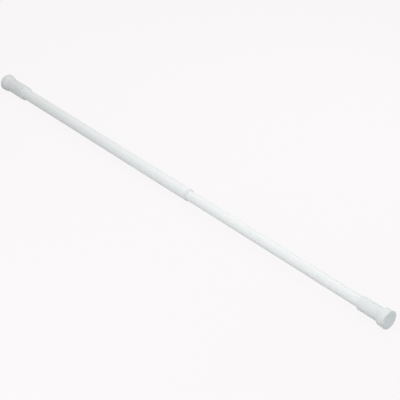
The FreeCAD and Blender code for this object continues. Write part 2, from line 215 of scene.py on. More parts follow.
@dataclass(frozen=True)
class Finish:
    """One surface of the rod: a base colour with slow unevenness, a grain and a gloss.

    Attributes:
        name: the finish in a maker's words.
        slot: the record's material slot; not used.
        pale: sRGB colour of the lighter places.
        deep: sRGB colour of the darker places.
        roughness: mean roughness of the surface.
        spread: how far the roughness strays to either side of the mean.
        grain: distance between two grains of the surface.
        grain_depth: height of those grains.
        ior: index of refraction.
        metallic: 1 for bare metal.
        worn: sRGB colour where the surface is rubbed.
        polish: how much smoother it is there.
        stretch: how many times longer the grain is along X, Y and Z.
        grain_detail: octaves of finer grain inside one grain.
        grain_fade: how strong each finer octave is against the one before.
        patch: size of the slow unevenness of colour and gloss, in grains.
        patch_detail: octaves of finer unevenness inside one such patch.
        line_height: height of the raised line that the making left.
    """

    name: str
    slot: str
    pale: str
    deep: str
    roughness: float
    spread: float
    grain: float
    grain_depth: float
    ior: float = 1.5
    metallic: float = 0.0
    worn: str = "#FFFFFF"
    polish: float = 0.0
    stretch: tuple[float, float, float] = (1.0, 1.0, 1.0)
    grain_detail: float = 3.0
    grain_fade: float = 0.55
    patch: float = 40.0
    patch_detail: float = 4.0
    line_height: float = 0.05 * MM

    def line(self, tree: NodeTree, place: NodeSocket) -> NodeSocket | None:
        """A raised line that the making left, as a height from 0 to 1, or None."""
        return None

    def wear(self, tree: NodeTree, place: NodeSocket) -> NodeSocket | None:
        """Where the surface is rubbed, from 0 to 1, or None."""
        return None

    def surface(self) -> dict[str, object]:
        """More constants for the surface shader."""
        return {}

    def material(self) -> Material:
        """Build the material's nodes.

        Returns:
            The material, named for the finish.
        """
        made = bpy.data.materials.new(self.name)
        tree = empty_tree(made)
        place = add_node(tree, "ShaderNodeTexCoord")["Object"]
        scale = [1.0 / s for s in self.stretch]
        stretched = add_node(
            tree, "ShaderNodeMapping", {"Vector": place, "Scale": scale}
        )["Vector"]
        grain = add_node(
            tree,
            "ShaderNodeTexNoise",
            {
                "Vector": stretched,
                "Scale": 1 / self.grain,
                "Detail": self.grain_detail,
                "Roughness": self.grain_fade,
            },
        )["Fac"]
        slow = add_node(
            tree,
            "ShaderNodeTexNoise",
            {
                "Vector": stretched,
                "Scale": 1 / (self.patch * self.grain),
                "Detail": self.patch_detail,
            },
        )["Fac"]
        tone = add_node(
            tree,
            "ShaderNodeMix",
            {"Factor": slow, MIX_A: linear(self.deep), MIX_B: linear(self.pale)},
            data_type="RGBA",
        )
        gloss = add_node(
            tree,
            "ShaderNodeMapRange",
            {
                "Value": slow,
                "From Min": NOISE_LOW,
                "From Max": NOISE_HIGH,
                "To Min": self.roughness - self.spread,
                "To Max": self.roughness + self.spread,
            },
        )["Result"]
        colour = tone[MIX_RESULT]
        rubbed = self.wear(tree, place)
        if rubbed is not None:
            colour = add_node(
                tree,
                "ShaderNodeMix",
                {"Factor": rubbed, MIX_A: colour, MIX_B: linear(self.worn)},
                data_type="RGBA",
            )[MIX_RESULT]
            gloss = add_node(
                tree,
                "ShaderNodeMath",
                {0: rubbed, 1: -self.polish, 2: gloss},
                operation="MULTIPLY_ADD",
            )[0]
        bumped = add_node(
            tree, "ShaderNodeBump", {"Height": grain, "Distance": self.grain_depth}
        )["Normal"]
        line = self.line(tree, place)
        if line is not None:
            bumped = add_node(
                tree,
                "ShaderNodeBump",
                {"Height": line, "Distance": self.line_height, "Normal": bumped},
            )["Normal"]
        shader = add_node(
            tree,
            "ShaderNodeBsdfPrincipled",
            {
                "Base Color": colour,
                "Roughness": gloss,
                "Normal": bumped,
                "Metallic": self.metallic,
                "IOR": self.ior,
                **self.surface(),
            },
        )
        add_node(tree, "ShaderNodeOutputMaterial", {"Surface": shader["BSDF"]})
        return made


@dataclass(frozen=True)
class PowderCoatedSteel(Finish):
    """Powder coat on welded steel tube, with the weld seam along the underside.

    Attributes:
        seam_turn: where the seam lies round the tube, from +Y towards +Z.
        seam_width: width of the seam's low ridge.
        tube_radius: outside radius of the tube.
        coat: share of clear gloss on top.
        coat_roughness: roughness of that gloss.
    """

    seam_turn: float = math.radians(-104)
    seam_width: float = 0.9 * MM
    tube_radius: float = 9.5 * MM
    coat: float = 0.15
    coat_roughness: float = 0.28

    def line(self, tree: NodeTree, place: NodeSocket) -> NodeSocket:
        """The weld seam, along the tube.

        Args:
            tree: the material's tree.
            place: the point on the tube.

        Returns:
            The seam's height, from 0 to 1.
        """
        xyz = add_node(tree, "ShaderNodeSeparateXYZ", {"Vector": place})
        turn = add_node(tree, "ShaderNodeMath", {0: xyz["Z"], 1: xyz["Y"]}, operation="ARCTAN2")[0]
        off = add_node(
            tree, "ShaderNodeMath", {0: turn, 1: self.seam_turn}, operation="SUBTRACT"
        )[0]
        return raised_line(tree, off, 0.5 * self.seam_width / self.tube_radius)

    def surface(self) -> dict[str, object]:
        """A clear, glossy top to the coat."""
        return {"Coat Weight": self.coat, "Coat Roughness": self.coat_roughness}


@dataclass(frozen=True)
class SlidPowderCoat(PowderCoatedSteel):
    """The same coat where the collar slides on it, with lines drawn along the tube.

    Attributes:
        hairline: distance between two hairlines.
        hairline_stretch: how many times longer than wide a hairline is.
        hairline_detail: octaves of finer hairlines between them.
        hairline_from: noise value at which a hairline starts to show.
        hairline_full: noise value at which it shows in full.
    """

    stretch: tuple[float, float, float] = (16.0, 1.0, 1.0)
    hairline: float = 0.3 * MM
    hairline_stretch: float = 80.0
    hairline_detail: float = 2.0
    hairline_from: float = 0.56
    hairline_full: float = 0.72

    def wear(self, tree: NodeTree, place: NodeSocket) -> NodeSocket:
        """Hairlines that the collar drew along the tube.

        Args:
            tree: the material's tree.
            place: the point on the tube.

        Returns:
            From 0 to 1, how much the point is rubbed.
        """
        drawn = add_node(
            tree,
            "ShaderNodeMapping",
            {"Vector": place, "Scale": (1 / self.hairline_stretch, 1.0, 1.0)},
        )["Vector"]
        lines = add_node(
            tree,
            "ShaderNodeTexNoise",
            {"Vector": drawn, "Scale": 1 / self.hairline, "Detail": self.hairline_detail},
        )["Fac"]
        return add_node(
            tree,
            "ShaderNodeMapRange",
            {"Value": lines, "From Min": self.hairline_from, "From Max": self.hairline_full},
            interpolation_type="SMOOTHSTEP",
        )["Result"]


@dataclass(frozen=True)
class MouldedPlastic(Finish):
    """Moulded plastic, with a parting line where the two halves of the mould met.

    Attributes:
        parting_width: width of the parting line's low ridge.
        scatter: share of the light that sinks into the plastic.
        scatter_depth: how deep it sinks.
    """

    parting_width: float = 0.25 * MM
    scatter: float = 0.0
    scatter_depth: float = 0.6 * MM

    def line(self, tree: NodeTree, place: NodeSocket) -> NodeSocket:
        """The parting line, along both sides of the piece.

        Args:
            tree: the material's tree.
            place: the point on the piece.

        Returns:
            The line's height, from 0 to 1.
        """
        xyz = add_node(tree, "ShaderNodeSeparateXYZ", {"Vector": place})
        return raised_line(tree, xyz["Z"], 0.5 * self.parting_width)

    def surface(self) -> dict[str, object]:
        """Let light sink a little way into the plastic, all colours alike.

        Returns:
            The shader's constants for that.
        """
        return {
            "Subsurface Weight": self.scatter,
            "Subsurface Radius": (1.0, 1.0, 1.0),
            "Subsurface Scale": self.scatter_depth,
        }


@dataclass(frozen=True)
class HandledVinyl(MouldedPlastic):
    """Moulded vinyl whose rim has rubbed against the wall.

    Attributes:
        scuff_reach: how far from the wall the scuffs die out.
        scuff_patch: size of one scuff.
    """

    scuff_reach: float = 2.6 * MM
    scuff_patch: float = 2.2 * MM

    def wear(self, tree: NodeTree, place: NodeSocket) -> NodeSocket:
        """Scuffs on the rim, close to the wall."""
        return near_walls(tree, place, self.scuff_reach, self.scuff_patch)


@dataclass(frozen=True)
class SoftRubber(Finish):
    """Moulded rubber, which shows no parting line on its face.

    Attributes:
        pressed_reach: how far from the wall the smoothing dies out.
        pressed_patch: size of one smoothed patch.
    """

    pressed_reach: float = 0.5 * MM
    pressed_patch: float = 3.0 * MM

    def wear(self, tree: NodeTree, place: NodeSocket) -> NodeSocket:
        """The land that is pressed on the wall, smoothed in patches."""
        return near_walls(tree, place, self.pressed_reach, self.pressed_patch)


@dataclass(frozen=True)
class DrawnMetal(Finish):
    """Metal drawn or rolled along the rod, so its fine lines run along X."""

    stretch: tuple[float, float, float] = (12.0, 1.0, 1.0)


# White polyester powder, sprayed on welded steel tube and baked. It flows out to a soft
# gloss, so the eye sees one broad, even light along the tube, broken up a little by orange
# peel. The peel's crests are 1.6 mm apart as on the real coat, and are drawn some ten times
# as deep as the real few micrometres, or they wouldn't show.
TUBE_ENAMEL = PowderCoatedSteel(
    name="white_powder_coated_steel",
    slot="tube_enamel",
    pale="#F4F6F5",
    deep="#EEF1F0",
    roughness=0.46,
    spread=0.05,
    grain=1.6 * MM,
    grain_depth=0.13 * MM,
    tube_radius=9.5 * MM,
)
# The same baked powder coat on the thinner tube, rubbed by the collar whenever the length
# is set. The peel is smoothed into streaks along the tube and fine hairlines lie on it, so
# its light is a little crisper and drawn out lengthwise. The hairlines are 0.3 mm apart,
# where real ones lie some hundredths of a millimetre apart, and the streaks are drawn
# deeper than real ones, so that both can be seen.
INNER_ENAMEL = SlidPowderCoat(
    name="white_powder_coat_rubbed_by_sliding",
    slot="tube_enamel",
    pale="#F4F6F5",
    deep="#EFF2F1",
    roughness=0.44,
    spread=0.06,
    grain=0.9 * MM,
    grain_depth=0.07 * MM,
    worn="#E8ECEC",
    polish=0.1,
    tube_radius=8.0 * MM,
)
# Soft white vinyl, injection moulded in a spark-eroded mould. The grain breaks the shine
# into an even satin, and a little light sinks in, which softens the cap's edges. Real
# grain is 0.1 to 0.2 mm across. It is drawn at 0.5 mm and deeper, so that it shows.
CAP_VINYL = HandledVinyl(
    name="white_moulded_vinyl",
    slot="cap_vinyl",
    pale="#EDEFEF",
    deep="#E7EAEA",
    roughness=0.52,
    spread=0.04,
    grain=0.5 * MM,
    grain_depth=0.11 * MM,
    ior=1.53,
    worn="#DFE3E4",
    polish=0.12,
    scatter=0.15,
)
# Pale grey thermoplastic rubber, moulded and left matt to grip the wall. The eye sees a
# flat grey disc with no highlight, a shade smoother where the land is pressed. Real grain
# is 0.1 to 0.2 mm across. It is drawn at 0.45 mm and deeper, so that it shows.
PAD_RUBBER = SoftRubber(
    name="pale_grey_moulded_rubber",
    slot="pad_rubber",
    pale="#EEF3F4",
    deep="#E7ECEE",
    roughness=0.72,
    spread=0.05,
    grain=0.45 * MM,
    grain_depth=0.18 * MM,
    ior=1.52,
    worn="#E1E6E9",
    polish=0.16,
)
# White polypropylene, injection moulded in a polished mould: smoother and glossier than
# the tubes, so the collar's lip catches a small, clear light. What grain it has is drawn
# at 0.4 mm, coarser than the real mould marks of about 0.1 mm.
COLLAR_PLASTIC = MouldedPlastic(
    name="white_moulded_polypropylene",
    slot="collar_plastic",
    pale="#EEF0F0",
    deep="#E9ECEC",
    roughness=0.36,
    spread=0.03,
    grain=0.4 * MM,
    grain_depth=0.03 * MM,
    ior=1.49,
    scatter=0.1,
)
# Natural nylon, injection moulded and left uncoloured: cream white and waxy, because much
# of the light sinks in. Its grain is drawn at 0.5 mm, for a real 0.1 to 0.2 mm.
CAM_NYLON = MouldedPlastic(
    name="natural_moulded_nylon",
    slot="cam_nylon",
    pale="#E6E1D3",
    deep="#DCD6C6",
    roughness=0.42,
    spread=0.05,
    grain=0.5 * MM,
    grain_depth=0.09 * MM,
    ior=1.53,
    scatter=0.3,
)
# Cold drawn steel bar and stamped strip, zinc plated bright. The drawing lines run along
# the bar, so reflections are clear across it and smeared along it. They are drawn 0.3 mm
# apart and about three times as deep as real ones, which are finer than the eye can part.
ZINC_PLATE = DrawnMetal(
    name="zinc_plated_drawn_steel",
    slot="plated_steel",
    pale="#D3D6D8",
    deep="#B9BEC2",
    roughness=0.3,
    spread=0.08,
    grain=0.3 * MM,
    grain_depth=0.012 * MM,
    metallic=1.0,
)
# Hard drawn spring wire and strip, dark from its heat treatment and lightly oiled: a dim
# grey with soft glints along the coils. Its drawing lines are drawn 0.25 mm apart and about
# three times as deep as real ones, which are too fine to show.
SPRING_STEEL = DrawnMetal(
    name="dark_drawn_spring_steel",
    slot="spring_steel",
    pale="#8B8B8C",
    deep="#6F6F71",
    roughness=0.36,
    spread=0.06,
    grain=0.25 * MM,
    grain_depth=0.012 * MM,
    metallic=1.0,
)
FINISHES = (
    TUBE_ENAMEL,
    INNER_ENAMEL,
    CAP_VINYL,
    PAD_RUBBER,
    COLLAR_PLASTIC,
    CAM_NYLON,
    ZINC_PLATE,
    SPRING_STEEL,
)


@dataclass(frozen=True)
class Corner:
    """One corner of an outline that is turned round the rod's axis.

    Attributes:
        along: place along the piece.
        radius: distance from the rod's axis.
        rounding: radius of the corner's own round, or 0 for a sharp corner.
    """

    along: float
    radius: float
    rounding: float = 0.0


@dataclass(frozen=True)
class Outline:
    """A closed or open outline with rounded corners.

    Attributes:
        corners: the corners in order.
        closed: whether the last corner joins the first.
        arc_step: largest turn between two points of a round.
        hold: how far from its end a long side gets a point that keeps its shading flat.
        long_side: how many times that distance a side measures at least, to be long.
    """

    corners: tuple[Corner, ...]
    closed: bool = True
    arc_step: float = math.radians(9)
    hold: float = 0.25 * MM
    long_side: float = 6.0

    def points(self) -> list[Vector]:
        """Work out the outline's points.

        Returns:
            Points of (along, radius).
        """
        made: list[Vector] = []
        count = len(self.corners)
        for i, corner in enumerate(self.corners):
            here = Vector((corner.along, corner.radius))
            if not self.closed and i in (0, count - 1):
                made.append(here)
                continue
            before, after = self.corners[i - 1], self.corners[(i + 1) % count]
            back = Vector((before.along, before.radius)) - here
            on = Vector((after.along, after.radius)) - here
            made.extend(self._corner(here, back, on, corner.rounding))
        return made

    def _corner(self, here: Vector, back: Vector, on: Vector, rounding: float) -> list[Vector]:
        """Work out one corner's points, with one more on each long side.

        Args:
            here: the sharp corner.
            back: the way from it to the corner before.
            on: the way from it to the next corner.
            rounding: radius of its round.

        Returns:
            The points, in order.
        """
        to_back, to_on = back.normalized(), on.normalized()
        turn = math.pi - to_back.angle(to_on)
        reach = rounding * math.tan(turn / 2)
        points = []
        if back.length > self.long_side * (reach + self.hold):
            points.append(here + to_back * (reach + self.hold))
        if rounding > 0:
            centre = here + (to_back + to_on).normalized() * rounding / math.cos(turn / 2)
            first = here + to_back * reach - centre
            last = here + to_on * reach - centre
            steps = max(2, math.ceil(turn / self.arc_step))
            signed = first.angle_signed(last)
            for k in range(steps + 1):
                points.append(centre + Matrix.Rotation(-signed * k / steps, 2) @ first)
        else:
            points.append(here)
        if on.length > self.long_side * (reach + self.hold):
            points.append(here + to_on * (reach + self.hold))
        return points


class ShapeTree:
    """A geometry tree that turns a blank into a piece, from named sizes and a finish.

    Attributes:
        tree: the tree.
        given: what the tree is given, by name.
    """

    def __init__(self, name: str, sizes: dict[str, str]) -> None:
        """Start the tree.

        Args:
            name: the tree's name.
            sizes: for each of its sizes the kind of socket, such as "Float".
        """
        self.tree = bpy.data.node_groups.new(name, "GeometryNodeTree")
        kinds = {"Blank": "Geometry", **sizes, "Finish": "Material"}
        face = self.tree.interface
        self._identifiers = {
            label: face.new_socket(
                label, in_out="INPUT", socket_type="NodeSocket" + kind
            ).identifier
            for label, kind in kinds.items()
        }
        face.new_socket("Piece", in_out="OUTPUT", socket_type="NodeSocketGeometry")
        self.given = add_node(self.tree, "NodeGroupInput")

    def end(self, shape: NodeSocket) -> None:
        """Make the shape real, coat it and hand it out.

        Args:
            shape: the finished shape.
        """
        real = add_node(self.tree, "GeometryNodeRealizeInstances", {"Geometry": shape})
        coated = add_node(
            self.tree,
            "GeometryNodeSetMaterial",
            {"Geometry": real["Geometry"], "Material": self.given["Finish"]},
        )
        add_node(self.tree, "NodeGroupOutput", {0: coated["Geometry"]})

    def make(self, name: str, blank: Object, finish: Material, sizes: dict[str, object]) -> Object:
        """Run the tree on a blank and keep the result as a plain mesh.

        Args:
            name: the new piece's name.
            blank: the object that the tree starts from, which is then removed.
            finish: the piece's material.
            sizes: the value of each named size.

        Returns:
            The piece, with its faces outwards.
        """
        scene = bpy.context.scene
        scene.collection.objects.link(blank)
        modifier = blank.modifiers.new("shape", "NODES")
        modifier.node_group = self.tree
        for label, value in {**sizes, "Finish": finish}.items():
            modifier[self._identifiers[label]] = value
        bpy.context.view_layer.update()
        evaluated = blank.evaluated_get(bpy.context.evaluated_depsgraph_get())
        mesh = bpy.data.meshes.new_from_object(evaluated)
        mesh.name = name
        bpy.data.objects.remove(blank)
        piece = bpy.data.objects.new(name, mesh)
        scene.collection.objects.link(piece)
        shell = bmesh.new()
        shell.from_mesh(mesh)
        bmesh.ops.recalc_face_normals(shell, faces=shell.faces)
        shell.to_mesh(mesh)
        shell.free()
        return piece


class Lathe:
    """Turns outlines into round pieces with one geometry tree.

    Attributes:
        HUB: radius of the circle that an outline is swept round. The outline starts that
            far inwards, so that what lies on the axis stays there.
        WELD: points closer than this become one, which closes the poles.
        CREASE: edges that turn less than this are shaded smooth.
    """

    HUB = 1.0 * MM
    WELD = 0.002 * MM
    CREASE = math.radians(32)

    def __init__(self) -> None:
        """Build the tree, once for all the pieces."""
        shape = ShapeTree("turn_round_rod_axis", {"Facets": "Int", "Crease": "Float"})
        tree, given = shape.tree, shape.given
        outline = add_node(tree, "GeometryNodeMeshToCurve", {"Mesh": given["Blank"]})
        circle = add_node(
            tree,
            "GeometryNodeCurvePrimitiveCircle",
            {"Resolution": given["Facets"], "Radius": self.HUB},
            mode="RADIUS",
        )
        upright = add_node(
            tree, "GeometryNodeSetCurveNormal", {"Curve": circle["Curve"]}, mode="Z_UP"
        )
        skin = add_node(
            tree,
            "GeometryNodeCurveToMesh",
            {"Curve": upright[0], "Profile Curve": outline["Curve"]},
        )
        laid = add_node(
            tree,
            "GeometryNodeTransform",
            {"Geometry": skin["Mesh"], "Rotation": (0.0, -math.pi / 2, 0.0)},
        )
        merged = add_node(
            tree,
            "GeometryNodeMergeByDistance",
            {"Geometry": laid["Geometry"], "Distance": self.WELD},
        )
        angle = add_node(tree, "GeometryNodeInputMeshEdgeAngle")
        soft = add_node(
            tree,
            "FunctionNodeCompare",
            {0: angle["Unsigned Angle"], 1: given["Crease"]},
            operation="LESS_THAN",
        )
        smooth = add_node(
            tree,
            "GeometryNodeSetShadeSmooth",
            {"Geometry": merged["Geometry"], "Shade Smooth": soft["Result"]},
            domain="EDGE",
        )
        shape.end(smooth["Geometry"])
        self.shape = shape

    def turn(self, name: str, outline: Outline, finish: Material, facets: int) -> Object:
        """Turn an outline round the rod's axis.

        Args:
            name: the piece's name.
            outline: its outline, in the rod's own frame.
            finish: its material.
            facets: flats round the circumference.

        Returns:
            The piece, as a plain mesh with its faces outwards.
        """
        points = outline.points()
        ends = range(len(points) if outline.closed else len(points) - 1)
        mesh = bpy.data.meshes.new(name)
        mesh.from_pydata(
            [(p.y - self.HUB, p.x, 0.0) for p in points],
            [(i, (i + 1) % len(points)) for i in ends],
            [],
        )
        blank = bpy.data.objects.new(name + "_outline", mesh)
        return self.shape.make(name, blank, finish, {"Facets": facets, "Crease": self.CREASE})


def seat_piece(piece: Object, node: str, body: str) -> None:
    """Let a piece stand for its CAD node and move with its body.

    Args:
        piece: the finished piece.
        node: the CAD node that it stands for.
        body: the CAD body that carries it.
    """
    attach(piece, body)
    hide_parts(node)
    LOG.info("%s: %d faces for %s on %s", piece.name, len(piece.data.polygons), node, body)


@dataclass(frozen=True)
class OuterTube:
    """The thicker tube, cut square at the cap and rolled over at the mouth.

    Attributes:
        wall: thickness of the tube's wall.
        mouth_round: round of the rolled edge.
        facets: flats round the tube.
    """

    wall: float = 0.6 * MM
    mouth_round: float = 0.4 * MM
    facets: int = 160

    def build(self, lathe: Lathe, finish: Material) -> None:
        """Turn the tube and dress it.

        Args:
            lathe: what turns it.
            finish: its material.
        """
        low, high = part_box("outer_tube")
        outside = high.z
        inside = outside - self.wall
        outline = Outline(
            (
                Corner(low.x, inside),
                Corner(low.x, outside),
                Corner(high.x, outside, self.mouth_round),
                Corner(high.x, inside),
            )
        )
        piece = lathe.turn("outer_tube_enamelled", outline, finish, self.facets)
        seat_piece(piece, "outer_tube", OUTER_SECTION)


@dataclass(frozen=True)
class InnerTube:
    """The thinner tube, with two rolled beads that hold the bush and the spring seat.

    Attributes:
        wall: thickness of the tube's wall.
        bead_depth: how deep a bead is rolled in.
        bead_floor: length of its flat floor.
        bead_flank: length of the slope on either side.
        bead_round: rounds where floor, slopes and tube meet.
        bush_bead: how far the first bead's middle lies from the tube's end.
        seat_gap: from the pressure spring's end to the spring seat's flange.
        seat_bead: how far the second bead's middle lies past that flange.
        facets: flats round the tube.
    """

    wall: float = 0.6 * MM
    bead_depth: float = 0.7 * MM
    bead_floor: float = 1.6 * MM
    bead_flank: float = 0.9 * MM
    bead_round: float = 0.5 * MM
    bush_bead: float = 10.0 * MM
    seat_gap: float = 0.1 * MM
    seat_bead: float = 5.0 * MM
    facets: int = 144

    def bead(self, centre: float, radius: float) -> tuple[Corner, ...]:
        """The corners of one rolled bead.

        Args:
            centre: its middle along the rod.
            radius: the surface that it is rolled into.

        Returns:
            Its four corners, in order along the rod.
        """
        half = self.bead_floor / 2
        reach = half + self.bead_flank
        floor = radius - self.bead_depth
        return (
            Corner(centre - reach, radius, self.bead_round),
            Corner(centre - half, floor, self.bead_round),
            Corner(centre + half, floor, self.bead_round),
            Corner(centre + reach, radius, self.bead_round),
        )

    def build(self, lathe: Lathe, finish: Material) -> None:
        """Turn the tube and dress it.

        Args:
            lathe: what turns it.
            finish: its material.
        """
        low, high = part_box("inner_tube")
        outside = high.z
        inside = outside - self.wall
        seat_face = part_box("pressure_spring")[1].x
        centres = (low.x + self.bush_bead, seat_face + self.seat_gap + self.seat_bead)
        outer = [corner for centre in centres for corner in self.bead(centre, outside)]
        inner = [corner for centre in centres for corner in self.bead(centre, inside)]
        outline = Outline(
            (
                Corner(low.x, outside),
                *outer,
                Corner(high.x, outside),
                Corner(high.x, inside),
                *reversed(inner),
                Corner(low.x, inside),
            )
        )
        piece = lathe.turn("inner_tube_enamelled", outline, finish, self.facets)
        seat_piece(piece, "inner_tube", INNER_SECTION)


@dataclass(frozen=True)
class CapEnd:
    """One end of the rod: a flared cap over the tube and the soft pad in its face.

    Attributes:
        side: outer or inner, as the end's nodes are named.
        body: the CAD body that carries it.
        facing: which way the cap runs from its wall face.
        tube_radius: outside radius of its tube.
        flange_radius: outside radius of the flange at its face, before the rim's round.
        sleeve_wall: wall of the sleeve over the tube.
        band_length: length of the flange's band.
        band_taper: how much thinner the band gets towards the sleeve.
        flare_length: length of the cone from the band down to the sleeve.
        rim_round: round of the flange's outer edge at the wall.
        ridge_round: round where the band meets the cone.
        root_round: round where the cone meets the sleeve.
        mouth_round: round of the sleeve's outer edge at its mouth.
        edge_round: small round of the other edges.
        rim: thickness of the flange round the pad.
        recess: depth of the pad's seat.
        web: thickness of the wall between the pad and the tube.
        fit: room between the sleeve's bore and the tube.
        stud_hole: radius of the hole for the pad's stud.
        mouth_lead: chamfer of the bore at the sleeve's mouth.
        cap_facets: flats round the cap.
        pad_gap: room between the web and the stud's barb.
        pad_land: width of the ring that is pressed on the wall.
        pad_round: round of the pad's outer edge.
        dish_depth: depth of the shallow dish inside the land.
        dish_slope: width of the slope down to it.
        dish_round: rounds at the slope's top and foot.
        dimple: radius of the dimple in the dish's middle.
        dimple_floor: radius of the dimple's flat floor.
        dimple_depth: how far it lies below the dish.
        dimple_top_round: round at the dimple's edge.
        dimple_foot_round: round at its floor.
        stud: radius of the stud that holds the pad in the cap.
        stud_tip: radius of its flat tip.
        stud_tip_round: round of that tip.
        stud_barb: how far the barb stands out from the stud.
        stud_barb_length: length of the stud past the web, with its barb.
        pad_edge_round: small round of the pad's hidden edges.
        pad_facets: flats round the pad.
    """

    side: str
    body: str
    facing: Facing
    tube_radius: float
    flange_radius: float
    sleeve_wall: float
    band_length: float
    band_taper: float
    flare_length: float
    rim_round: float = 0.6 * MM
    ridge_round: float = 2.0 * MM
    root_round: float = 4.0 * MM
    mouth_round: float = 0.7 * MM
    edge_round: float = 0.15 * MM
    rim: float = 1.0 * MM
    recess: float = 2.0 * MM
    web: float = 2.5 * MM
    fit: float = 0.03 * MM
    stud_hole: float = 2.5 * MM
    mouth_lead: float = 0.6 * MM
    cap_facets: int = 160
    pad_gap: float = 0.1 * MM
    pad_land: float = 3.6 * MM
    pad_round: float = 0.4 * MM
    dish_depth: float = 0.6 * MM
    dish_slope: float = 1.2 * MM
    dish_round: float = 0.8 * MM
    dimple: float = 1.6 * MM
    dimple_floor: float = 0.88 * MM
    dimple_depth: float = 0.5 * MM
    dimple_top_round: float = 0.3 * MM
    dimple_foot_round: float = 0.4 * MM
    stud: float = 2.4 * MM
    stud_tip: float = 1.2 * MM
    stud_tip_round: float = 0.3 * MM
    stud_barb: float = 0.6 * MM
    stud_barb_length: float = 2.8 * MM
    pad_edge_round: float = 0.1 * MM
    pad_facets: int = 144

    def _along(self, start: float, steps: list[Corner]) -> tuple[Corner, ...]:
        """Place corners measured from a face in the rod's own frame."""
        way = self.facing.value
        return tuple(Corner(start + way * c.along, c.radius, c.rounding) for c in steps)

    def _face(self, node: str) -> float:
        """Where a node's wall side lies along the rod."""
        low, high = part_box(node)
        return low.x if self.facing is Facing.FORWARD else high.x

    def cap(self, lathe: Lathe, finish: Material) -> None:
        """Turn the cap and dress it.

        Args:
            lathe: what turns it.
            finish: its material.
        """
        node = self.side + "_cap"
        low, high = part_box(node)
        length, flange = high.x - low.x, self.flange_radius
        bore = self.tube_radius + self.fit
        sleeve = self.tube_radius + self.sleeve_wall
        flare_end = self.band_length + self.flare_length
        seat = flange - self.rim
        floor = self.recess + self.web
        steps = [
            Corner(0, seat, self.edge_round),
            Corner(0, flange, self.rim_round),
            Corner(self.band_length, flange - self.band_taper, self.ridge_round),
            Corner(flare_end, sleeve, self.root_round),
            Corner(length, sleeve, self.mouth_round),
            Corner(length, bore + self.mouth_lead, self.edge_round),
            Corner(length - self.mouth_lead, bore),
            Corner(floor, bore),
            Corner(floor, self.stud_hole),
            Corner(self.recess, self.stud_hole),
            Corner(self.recess, seat),
        ]
        outline = Outline(self._along(self._face(node), steps))
        piece = lathe.turn(node + "_moulded", outline, finish, self.cap_facets)
        seat_piece(piece, node, self.body)

    def pad(self, lathe: Lathe, finish: Material) -> None:
        """Turn the wall pad and dress it.

        Args:
            lathe: what turns it.
            finish: its material.
        """
        node = self.side + "_pad"
        low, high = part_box(node)
        edge = high.z
        land = edge - self.pad_land
        depth = high.x - low.x
        back = depth - self.stud_barb_length - self.web
        barb = back + self.web + self.pad_gap
        dish = self.dish_depth
        floor = dish + self.dimple_depth
        steps = [
            Corner(floor, 0),
            Corner(floor, self.dimple_floor, self.dimple_foot_round),
            Corner(dish, self.dimple, self.dimple_top_round),
            Corner(dish, land - self.dish_slope, self.dish_round),
            Corner(0, land, self.dish_round),
            Corner(0, edge, self.pad_round),
            Corner(back, edge, self.pad_edge_round),
            Corner(back, self.stud),
            Corner(barb, self.stud),
            Corner(barb, self.stud + self.stud_barb, self.pad_edge_round),
            Corner(depth, self.stud_tip, self.stud_tip_round),
            Corner(depth, 0),
        ]
        outline = Outline(self._along(self._face(node), steps), closed=False)
        piece = lathe.turn(node + "_moulded", outline, finish, self.pad_facets)
        seat_piece(piece, node, self.body)


